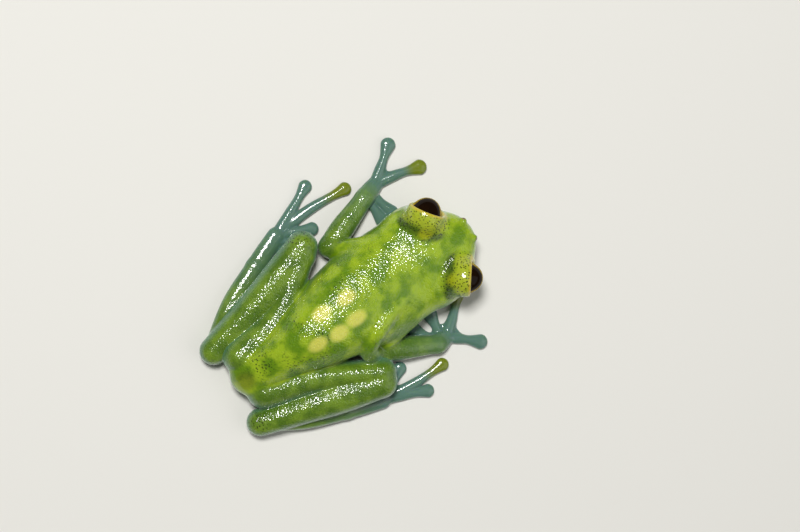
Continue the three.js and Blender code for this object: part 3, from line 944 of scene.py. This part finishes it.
@dataclass
class Markings:
    """Where the skin's colours and grains lie, with all lengths in mm."""

    trunk: Trunk
    eyes: tuple[Eye, ...]
    limbs: tuple[Limb, ...]
    # Yellow spots on the back: x, y, half length, half width, all seen from above
    back_spots: tuple[tuple[float, ...], ...] = (
        (-0.65, 0.5, 0.95, 0.6),
        (-0.85, 2.45, 0.9, 0.65),
        (-0.6, 4.5, 0.9, 0.6),
        (1.35, 0.2, 0.85, 0.6),
        (1.45, 2.75, 0.9, 0.6),
    )
    spot_edge: Fade = (1.35, 0.6)  # in half widths from the spot's middle
    # X and Y of the yellow patch beside each lid
    lid_patches: dict[Side, Pair] = field(
        default_factory=lambda: {Side.LEFT: (2.0, -8.8), Side.RIGHT: (-2.85, -8.65)}
    )
    patch_edge: Fade = (0.8, 0.35)
    patch_long: float = 0.8  # a patch's width as a share of its length
    vent: Place = (0.0, 11.4, 0.0)
    vent_edge: Fade = (1.2, 0.4)
    # Painted shade in each nostril's opening: its place from the nostril's rise, and how it fades
    nostril_shade_shift: Place = (0.18, 0.2, 0.14)
    nostril_shade_edge: Fade = (0.26, 0.1)
    # Measured from the centre of the eye
    lid_far: Fade = (2.3, 1.8)
    # The ring is painted shade in the crease round the base of the lid dome
    shade_ring_far: Fade = (2.7, 2.3)
    dots_far: Fade = (2.6, 2.0)
    # Measured the way that the eye looks, from its centre
    lid_ahead: Fade = (-1.2, -0.5)
    rim_ahead: Fade = (0.3, 0.5)
    dots_ahead: Fade = (0.5, 0.3)
    shade_ring_ahead: float = -1.3
    shade_ring_width: float = 0.5
    # Measured up from the floor
    eye_level: Fade = (3.4, 4.2)
    back_level: Fade = (2.6, 4.2)
    vent_level: Fade = (2.2, 3.0)
    grain_level: Fade = (0.8, 2.2)
    clear_level: Fade = (2.6, 1.2)
    belly_level: Fade = (1.3, 0.3)
    # Measured on a limb: height from -1 to 1, then shares of its length, then mm from the body
    clear_height: Fade = (0.82, 0.35)
    gold_tip: Fade = (0.62, 0.9)
    near_end: Fade = (0.2, 0.0)
    far_end: Fade = (0.85, 1.0)
    off_body: Fade = (-0.15, 0.35)
    rear: Fade = (-4.0, 1.0)  # Y from which the back has more freckles
    reach: float = 0.6  # how far from a limb its markings are worked out
    # How strong the markings are where they are strongest
    face_most: float = 0.9
    spot_most: float = 0.85
    vent_most: float = 0.45
    flank_clear: float = 0.55
    freckles_most: float = 0.7
    back_freckles: float = 0.24
    rear_freckles: float = 0.2  # more than on the rest of the back
    bend_freckles: float = 0.42
    body_grain: float = 0.2
    limb_grain: float = 0.75
    lid_smooth: float = 0.4  # how much less grain the lids have, as a share

    def _on_limbs(self, points: Array) -> dict[str, Array]:
        """How much each point belongs to a limb, how clear the flesh is there, and the discs."""
        body = self.trunk.distance(points.T)
        nearest = np.full(len(points), FAR)
        made = {name: np.zeros(len(points)) for name in ("clear", "digit", "disc", "bend")}
        for limb in self.limbs:
            for name, tube in limb.tubes().items():
                if name in IN_BODY:
                    continue
                low, high = tube.corners()
                close = np.all((points > low - self.reach) & (points < high + self.reach), axis=1)
                distance, share, height = tube.measure(points[close].T)
                better = distance < nearest[close]
                flesh = FLESH.get(name, DIGIT_FLESH)
                first, last = flesh.pale
                at_end = np.maximum(fade(self.near_end, share), fade(self.far_end, share))
                seen = {
                    "clear": flesh.clear * fade(self.clear_height, height),
                    "digit": first + (last - first) * share**2,
                    "disc": fade(self.gold_tip, share) * (name == limb.gold_digit),
                    "bend": at_end * (name in ("shank", "knee")),
                }
                nearest[close] = np.where(better, distance, nearest[close])
                for key, values in seen.items():
                    made[key][close] = np.where(better, values, made[key][close])
        on_limb = fade(self.off_body, body - nearest)
        return {"limb": on_limb} | {name: values * on_limb for name, values in made.items()}

    def _on_face(self, points: Array) -> dict[str, Array]:
        """Where the lids, their rims, the painted shade in the crease round them, the dots round them and
        the painted shade in the nostrils lie.
        """
        found: list[dict[str, Array]] = []
        over = fade(self.eye_level, points[:, 2])
        for eye in self.eyes:
            depth = eye.ahead_of(points.T)
            far = np.linalg.norm(points - eye.centre, axis=1)
            lid = fade(self.lid_far, far) * over
            # ring: painted shade in the crease where the lid dome meets the head
            ring = fade(self.shade_ring_far, far) * over * bell(depth - self.shade_ring_ahead, self.shade_ring_width)
            # The nostril marking is painted shade in each nostril's opening
            nose = np.linalg.norm(points - self.trunk.nose(eye.side, self.nostril_shade_shift), axis=1)
            patch_x, patch_y = self.lid_patches[eye.side]
            flat = np.hypot(points[:, 0] - patch_x, (points[:, 1] - patch_y) * self.patch_long)
            marks = {
                "gold": self.face_most * lid * fade(self.lid_ahead, depth),
                "rim": lid * fade(self.rim_ahead, depth),
                "ring": self.face_most * ring,
                "dots": fade(self.dots_far, far) * over * fade(self.dots_ahead, depth),
                "nostril": fade(self.nostril_shade_edge, nose),
                "patch": self.face_most * fade(self.patch_edge, flat) * over,
            }
            found.append(marks)
        return {name: np.maximum(*(marks[name] for marks in found)) for name in found[0]}

    def strengths(self, points: Array) -> dict[str, Array]:
        """Work out how strong each marking is.

        Args:
            points: The skin's points in mm.

        Returns:
            A number from 0 to 1 at each point, by the marking's name.
        """
        x, y, z = points.T
        made = self._on_limbs(points) | self._on_face(points)
        body = 1 - made["limb"]
        above = fade(self.back_level, z) * body
        spots = np.zeros(len(points))
        for spot_x, spot_y, long, wide in self.back_spots:
            off = np.hypot((x - spot_x) / wide, (y - spot_y) / long)
            spots = np.maximum(spots, fade(self.spot_edge, off))
        bend, dots = made.pop("bend"), made.pop("dots")
        made["spot"] = self.spot_most * spots * above
        made["belly"] = fade(self.belly_level, z) * body
        flank = self.flank_clear * fade(self.clear_level, z) * body
        made["clear"] = np.maximum(made["clear"], flank)
        off = np.hypot(x - self.vent[0], y - self.vent[1])
        made["vent"] = self.vent_most * fade(self.vent_edge, off) * fade(self.vent_level, z)
        freckles = (self.back_freckles + self.rear_freckles * fade(self.rear, y)) * above * (1 - spots)
        freckles += self.freckles_most * dots + self.bend_freckles * bend
        made["freckles"] = np.clip(freckles, 0, self.freckles_most)
        grain = self.body_grain + above + self.limb_grain * fade(self.grain_level, z) * made["limb"]
        made["grain"] = np.clip(grain, 0, 1) * (1 - self.lid_smooth * made["gold"])
        return made


@dataclass
class FrogSkin:
    """The whole skin, from snout to discs, in one mesh, with all lengths in mm."""

    trunk: Trunk
    eyes: tuple[Eye, ...]
    legs: tuple[Limb, ...]
    arms: tuple[Limb, ...]
    low: Place = (-11.4, -13.2, -0.3)
    high: Place = (11.8, 13.7, 6.6)
    step: float = 0.075  # between the lattice's points
    trunk_blend: float = 0.1
    web_blend: float = 0.16
    nose_rise: float = 0.3  # radius of the rise round a nostril
    nose_pit: float = 0.13  # radius of its opening
    nose_round: float = 0.1
    pit_shift: Place = (0.18, 0.22, 0.14)  # of the opening from the rise: ahead, outward, up
    mouth_low: Place = (-5.2, -12.9, 1.2)
    mouth_high: Pair = (5.2, 2.8)  # X and Z
    mouth_level: float = 1.95
    mouth_depth: float = 0.16
    mouth_width: float = 0.1
    mouth_corner: float = 1.3  # ahead of the neck
    mouth_fade: float = 0.9  # how long the line takes to reach its depth
    mouth_reach: float = 0.8  # how far from the skin the line is felt
    mouth_margin: float = 0.1
    lip_offset: float = 0.3
    lip_width: float = 0.18
    lip_height: float = 0.05

    def shape(self) -> Lattice:
        """Work out the signed distance to the skin all round the frog."""
        lattice = Lattice(np.array(self.low), np.array(self.high), self.step)
        lattice.add(self.trunk, self.trunk_blend)
        for eye in self.eyes:
            eye.add_lids(lattice)
            self._add_nostril(lattice, eye.side)
        self._add_mouth(lattice)
        for limb in (*self.arms, *self.legs):
            tubes = limb.tubes()
            for name, tube in tubes.items():
                lattice.add(tube, FLESH.get(name, DIGIT_FLESH).blend)
            for i in limb.webbed:
                lattice.add(Web(*(tubes[f"digit_{j}"].line for j in (i, i + 1))), self.web_blend)
        levels = lattice.low[2] + lattice.step * np.arange(lattice.values.shape[2])
        lattice.values = np.maximum(lattice.values, -levels.astype(np.float32))
        return lattice

    def _add_nostril(self, lattice: Lattice, side: Side) -> None:
        """Raise one nostril on the snout and open it."""
        lattice.add(Ball(self.trunk.nose(side), self.nose_rise), self.nose_rise)
        pit = Ball(self.trunk.nose(side, self.pit_shift), self.nose_pit)

        def open_pit(old: Array, at: Axes) -> Array:
            return smooth_cut(old, pit.distance(at), self.nose_round)

        lattice.apply(pit.corners(), self.nose_rise, open_pit)

    def _add_mouth(self, lattice: Lattice) -> None:
        """Press the mouth line into the head, between raised lips."""
        corner = self.trunk.neck - self.mouth_corner

        def open_mouth(old: Array, at: Axes) -> Array:
            up = at[2] - self.mouth_level
            line = self.mouth_depth * bell(up, self.mouth_width)
            lips = sum(bell(up + off, self.lip_width) for off in (-self.lip_offset, self.lip_offset))
            run = fade((0, self.mouth_fade), corner - at[1])
            return old + run * bell(old, self.mouth_reach) * (line - self.lip_height * lips)

        high = np.array([self.mouth_high[0], corner, self.mouth_high[1]])
        lattice.apply((np.array(self.mouth_low), high), self.mouth_margin, open_mouth)

    def build(self) -> Object:
        """Make the skin and hide the body parts that it stands for.

        Returns:
            The skin's object.
        """
        points, faces = self.shape().skin()
        points = np.clip(points, *(np.array(corner) / MM for corner in CAD_BOX))
        skin = make_object("frog_skin", points, faces)
        markings = Markings(self.trunk, self.eyes, (*self.legs, *self.arms))
        for name, values in markings.strengths(points).items():
            set_attribute(skin, name, values)
        skin.data.materials.append(WetFrogSkin().build())
        flesh = [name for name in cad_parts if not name.startswith("eye")]
        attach(skin, "root")
        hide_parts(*flesh)
        log.info("skin: %d points, %d faces", len(points), len(faces))
        return skin


@dataclass
class Eyeball:
    """The eyeball with its bulging cornea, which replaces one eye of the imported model."""

    eye: Eye
    rings: int = 64
    spokes: int = 96
    last: float = math.radians(178)
    inset: float = 0.02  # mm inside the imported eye
    cornea_blend: float = 0.08
    pupil_top: Place = (0.139, 0.086, 0.987)  # direction from the eye's centre to the pupil's top
    pupil_floor: float = 0.3  # lowest level of the pupil along that direction, in eye radii
    pupil_round: float = 0.22  # how much its lower edge rises to both sides
    pupil_soft: float = 0.05

    def _surface(self) -> tuple[Array, list[tuple[int, ...]]]:
        """Turn rings round the way that the eye looks.

        Returns:
            The points in mm and the faces.
        """
        eye = self.eye
        look = eye.look
        side = np.cross(UP, look)
        side /= np.linalg.norm(side)
        over = np.cross(look, side)
        angles = np.linspace(0, self.last, self.rings + 1)[1:]
        cornea = eye.cornea_bulge * np.cos(angles) + np.sqrt(
            eye.cornea_radius**2 - (eye.cornea_bulge * np.sin(angles)) ** 2
        )
        radii = -smooth_union(-np.full(len(angles), eye.radius), -cornea, self.cornea_blend) - self.inset
        turns = np.arange(self.spokes) * 2 * math.pi / self.spokes
        away = np.cos(turns)[:, None] * side + np.sin(turns)[:, None] * over
        rings = [
            eye.centre + r * (math.cos(a) * look + math.sin(a) * away) for a, r in zip(angles, radii)
        ]
        front = eye.centre + look * (eye.cornea_bulge + eye.cornea_radius - self.inset)
        points = np.vstack([front[None, :], *rings])
        faces: list[tuple[int, ...]] = []
        for j in range(self.spokes):
            k = (j + 1) % self.spokes
            faces.append((0, 1 + j, 1 + k))
            for i in range(self.rings - 1):
                a, b = 1 + i * self.spokes, 1 + (i + 1) * self.spokes
                faces.append((a + j, b + j, b + k, a + k))
        last = 1 + (self.rings - 1) * self.spokes
        faces.append(tuple(last + j for j in range(self.spokes)))
        return points, faces

    def build(self) -> Object:
        """Make the eyeball, with iris and pupil."""
        label = self.eye.side.name.lower()
        points, faces = self._surface()
        off = (points - self.eye.centre) / self.eye.radius
        sideways = off @ np.cross(self.eye.look, self.pupil_top)
        below = self.pupil_floor + self.pupil_round * sideways**2 - off @ np.array(self.pupil_top)
        ball = make_object(f"eyeball_{label}", points, faces)
        set_attribute(ball, "iris", fade((-self.pupil_soft, self.pupil_soft), below))
        ball.data.materials.append(FrogEyeball().build())
        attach(ball, "root")
        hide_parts(f"eye_{label}")
        log.info("eye %s: %d points", label, len(points))
        return ball


@dataclass(frozen=True)
class Studio:
    """Floor, lights and camera."""

    floor_half: float = 600.0  # mm
    # Each soft light: name, place and width in metres, power in watts
    lights: tuple[tuple[str, Place, float, float], ...] = (
        ("key", (0.125, -0.01, 0.32), 0.07, 1.1),
        ("fill", (-0.25, -0.2, 0.3), 0.4, 0.4),
    )
    sky: str = "#f2f4f5"
    sky_strength: float = 0.15
    lens: float = 100.0
    sensor: float = 36.0
    nearest: float = 0.01  # metres: closer things are left out of the picture
    pixels_across: int = 800
    pixels_per_mm: float = 11.2
    aim: Pair = (4.616, 3.348)  # mm right of and above the origin in the picture
    lean: Place = (0.14, 0.087, 1.0)  # from the frog to the camera
    roll: float = math.radians(34.5)

    def camera(self) -> None:
        """Set the camera over the frog at the photograph's angle and scale."""
        back = Vector(self.lean).normalized()
        head = Vector((0, -1, 0))
        head = (head - head.dot(back) * back).normalized()
        left = back.cross(head)
        right = math.cos(self.roll) * head - math.sin(self.roll) * left
        up = math.sin(self.roll) * head + math.cos(self.roll) * left
        distance = self.lens / self.sensor * self.pixels_across / self.pixels_per_mm * MM
        place = (right * self.aim[0] + up * self.aim[1]) * MM + back * distance
        data = bpy.data.cameras.new("camera")
        data.lens = self.lens
        data.sensor_width = self.sensor
        data.clip_start = self.nearest
        camera = place_object("camera", data)
        axes = Matrix((right, up, back)).transposed()
        camera.matrix_world = Matrix.Translation(place) @ axes.to_4x4()
        bpy.context.scene.camera = camera

    def build(self) -> None:
        """Lay the floor and set the lights and the camera."""
        half = self.floor_half
        points = np.array([(-half, -half, 0), (half, -half, 0), (half, half, 0), (-half, half, 0)])
        floor = make_object("floor", points, [(0, 1, 2, 3)])
        floor.data.materials.append(MattPaper().build())
        for name, place, width, power in self.lights:
            data = bpy.data.lights.new(name, "AREA")
            data.size = width
            data.energy = power
            lamp = place_object(name, data)
            lamp.location = Vector(place)
            lamp.rotation_euler = Vector(place).to_track_quat("Z", "Y").to_euler()
        world = bpy.data.worlds.new("studio")
        world.use_nodes = True
        background = world.node_tree.nodes["Background"]
        background.inputs["Color"].default_value = linear(self.sky)
        background.inputs["Strength"].default_value = self.sky_strength
        bpy.context.scene.world = world
        bpy.context.scene.view_settings.view_transform = "Standard"
        self.camera()
        log.info("studio: %d lights", len(self.lights))


def main() -> None:
    """Build the frog and the studio round it."""
    logging.basicConfig(level=logging.INFO, format="%(name)s: %(message)s")
    trunk = Trunk()
    eyes = tuple(Eye(trunk, side) for side in Side)
    FrogSkin(trunk, eyes, LEGS, ARMS).build()
    for eye in eyes:
        Eyeball(eye).build()
    Studio().build()


if __name__ == "__main__":
    main()
